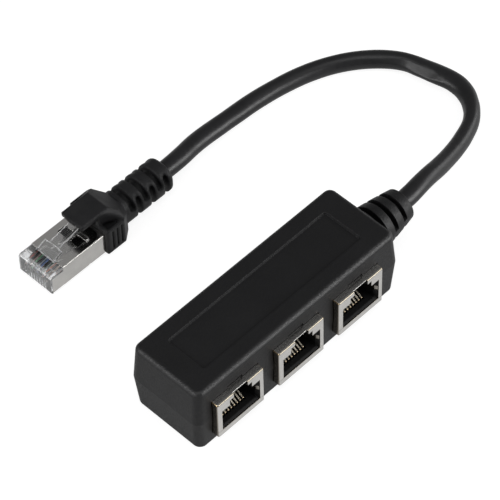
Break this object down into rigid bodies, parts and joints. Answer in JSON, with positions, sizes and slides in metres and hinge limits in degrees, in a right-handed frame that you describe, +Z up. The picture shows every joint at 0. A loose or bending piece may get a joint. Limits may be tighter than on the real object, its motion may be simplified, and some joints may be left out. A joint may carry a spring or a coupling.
{
  "type": "network splitter adapter",
  "caption": "Black moulded box with a row of shielded network sockets, joined by a short looped cable to a shielded network plug with a hooded boot.",
  "frame": {"origin": "centre of the housing's underside", "axes": "+X along the housing towards its cable end, -Y out of the face with the sockets, +Z up"},
  "size_m": [0.1334, 0.0763, 0.022],
  "materials": {
    "black_plastic": "fine spark-eroded grain, slightly glossy",
    "cable_jacket": "smooth semi-gloss extruded jacket",
    "boot_rubber": "soft-touch moulding, satin",
    "shield_metal": "tin-plated sheet, satin",
    "plug_shell_metal": "nickel-plated sheet, satin",
    "insulator_plastic": "plain moulded",
    "insert_plastic": "plain moulded",
    "contact_gold": "gold-plated, polished",
    "board_laminate": "green solder mask",
    "clear_plastic": "clear polycarbonate",
    "guide_plastic": "milky clear polycarbonate",
    "wire_orange_white": "insulation",
    "wire_orange": "insulation",
    "wire_green_white": "insulation",
    "wire_blue": "insulation",
    "wire_blue_white": "insulation",
    "wire_green": "insulation",
    "wire_brown_white": "insulation",
    "wire_brown": "insulation"
  },
  "bodies": {
    "root": {"housing": "black_plastic", "circuit_board": "board_laminate", "jack_1_shield": "shield_metal", "jack_1_insulator": "insulator_plastic", "jack_1_contacts": "contact_gold", "jack_1_insert": "insert_plastic", "jack_2_shield": "shield_metal", "jack_2_insulator": "insulator_plastic", "jack_2_contacts": "contact_gold", "jack_2_insert": "insert_plastic", "jack_3_shield": "shield_metal", "jack_3_insulator": "insulator_plastic", "jack_3_contacts": "contact_gold", "jack_3_insert": "insert_plastic", "board_wire_1": "wire_orange_white", "board_wire_2": "wire_orange", "board_wire_3": "wire_green_white", "board_wire_4": "wire_blue", "board_wire_5": "wire_blue_white", "board_wire_6": "wire_green", "board_wire_7": "wire_brown_white", "board_wire_8": "wire_brown", "plug_body": "clear_plastic", "plug_shell": "plug_shell_metal", "plug_blades": "contact_gold", "plug_guide_bar": "guide_plastic", "plug_wire_1": "wire_orange_white", "plug_wire_2": "wire_orange", "plug_wire_3": "wire_green_white", "plug_wire_4": "wire_blue", "plug_wire_5": "wire_blue_white", "plug_wire_6": "wire_green", "plug_wire_7": "wire_brown_white", "plug_wire_8": "wire_brown", "plug_boot": "boot_rubber", "cable": "cable_jacket"}
  },
  "joints": []
}
